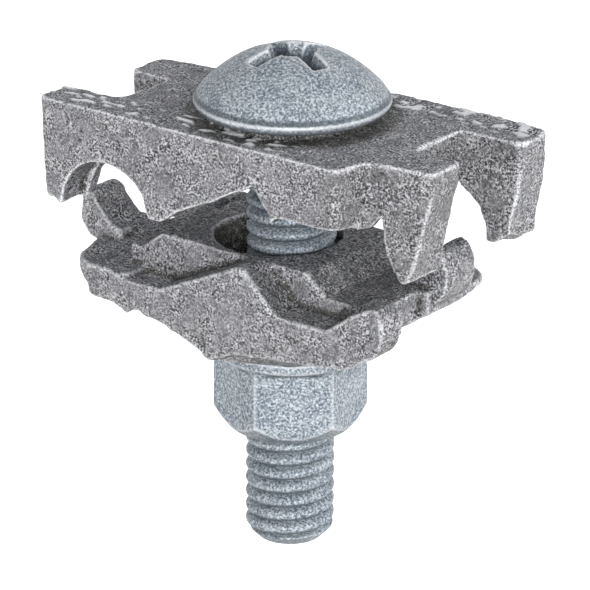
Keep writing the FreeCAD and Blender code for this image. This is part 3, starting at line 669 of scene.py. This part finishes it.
for node, body, seed, top_shade, edge_brightness, sculpt in (("upper_jaw", "upper", 1, 0.60, 1.0, upper_sculpt),
                                              ("lower_jaw", "lower", 2, 0.60, 0.55, lower_sculpt)):
    jaw = make_casting(node, seed, top_shade, edge_brightness, sculpt, casting)
    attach(jaw, body)
    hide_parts(node)

screw = make_screw(galvanised)
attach(screw, "bolt")
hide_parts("screw")

nut = make_nut(galvanised)
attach(nut, "nut")
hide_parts("nut")


# Stage, light, camera

AZIMUTH = math.radians(37.2)
ELEVATION = math.radians(21.1)
ROLL = math.radians(0.4)
DISTANCE = 0.42
PICTURE_WIDTH = 590.0
PIXELS_PER_METRE = 9470.0
AIM = Vector((0.0, 0.0, 0.0273))
AIM_RIGHT = 0.00040
FLOOR_HEIGHT = -0.022
FLOOR_HALF = 4.0
LAMP_TARGET = Vector((0.0, 0.0, 0.03))


def toward(azimuth, elevation):
    """Unit vector from the object toward a camera or a lamp."""
    level = math.cos(elevation)
    return Vector((math.sin(azimuth) * level, -math.cos(azimuth) * level, math.sin(elevation)))


right = Vector((math.cos(AZIMUTH), math.sin(AZIMUTH), 0.0))
back = toward(AZIMUTH, ELEVATION)
up = back.cross(right)
lens_right = right * math.cos(ROLL) + up * math.sin(ROLL)
lens_up = up * math.cos(ROLL) - right * math.sin(ROLL)
camera_data = bpy.data.cameras.new("camera")
camera = bpy.data.objects.new("camera", camera_data)
bpy.context.scene.collection.objects.link(camera)
basis = Matrix((lens_right, lens_up, back)).transposed().to_4x4()
camera.matrix_world = Matrix.Translation(AIM + right * AIM_RIGHT + back * DISTANCE) @ basis
camera_data.sensor_width = 36.0
camera_data.lens = camera_data.sensor_width * PIXELS_PER_METRE * DISTANCE / PICTURE_WIDTH
camera_data.clip_start = 0.01
camera_data.clip_end = 20.0
bpy.context.scene.camera = camera

corners = [(x * FLOOR_HALF, y * FLOOR_HALF, FLOOR_HEIGHT)
           for x, y in ((-1, -1), (1, -1), (1, 1), (-1, 1))]
floor = new_object("floor", corners, [(0, 1, 2, 3)])
graph = new_material("floor_white")
paper = graph.node("ShaderNodeBsdfDiffuse")
graph.put(paper.inputs["Color"], (0.86, 0.86, 0.86, 1.0))
glow = graph.node("ShaderNodeEmission")
graph.put(glow.inputs["Color"], (1.0, 1.0, 1.0, 1.0))
graph.put(glow.inputs["Strength"], graph.shows_background())
both = graph.node("ShaderNodeAddShader")
graph.put(both.inputs[0], paper.outputs["BSDF"])
graph.put(both.inputs[1], glow.outputs["Emission"])
graph.put(graph.output.inputs["Surface"], both.outputs["Shader"])
floor.data.materials.append(graph.owner)

# White behind the object. As a light the world is dimmer, most of all above and on the left.
world = bpy.data.worlds.new("studio")
bpy.context.scene.world = world
graph = Graph(world, "ShaderNodeOutputWorld")
direction = graph.node("ShaderNodeSeparateXYZ")
graph.put(direction.inputs["Vector"], graph.node("ShaderNodeNewGeometry").outputs["Position"])
height = graph.stretch(direction.outputs["Z"], 0.05, 0.75, 0.48, 0.25, "LINEAR")
sideways = graph.stretch(direction.outputs["X"], -1.0, 1.0, 0.3, 1.2, "LINEAR")
ambient = graph.math("MULTIPLY", sideways, height)
sky = graph.node("ShaderNodeBackground")
graph.put(sky.inputs["Color"], (1.0, 1.0, 1.0, 1.0))
graph.put(sky.inputs["Strength"],
          graph.stretch(graph.shows_background(), 0.0, 1.0, ambient, 1.0, "LINEAR"))
graph.put(graph.output.inputs["Surface"], sky.outputs["Background"])


def soft_light(name, azimuth, elevation, distance, size, power):
    """Square lamp aimed at the object's middle. Angles in degrees, lengths in metres."""
    data = bpy.data.lights.new(name, "AREA")
    data.shape = "SQUARE"
    data.size = size
    data.energy = power
    lamp = bpy.data.objects.new(name, data)
    bpy.context.scene.collection.objects.link(lamp)
    direction = toward(math.radians(azimuth), math.radians(elevation))
    lamp.matrix_world = (Matrix.Translation(LAMP_TARGET + direction * distance)
                         @ direction.to_track_quat("Z", "Y").to_matrix().to_4x4())


soft_light("key", 40.0, 14.0, 0.6, 0.20, 2.5)
soft_light("right", 125.0, 32.0, 0.7, 0.25, 1.9)
soft_light("left", -45.0, 52.0, 0.7, 0.25, 0.6)

bpy.context.scene.view_settings.view_transform = "Standard"
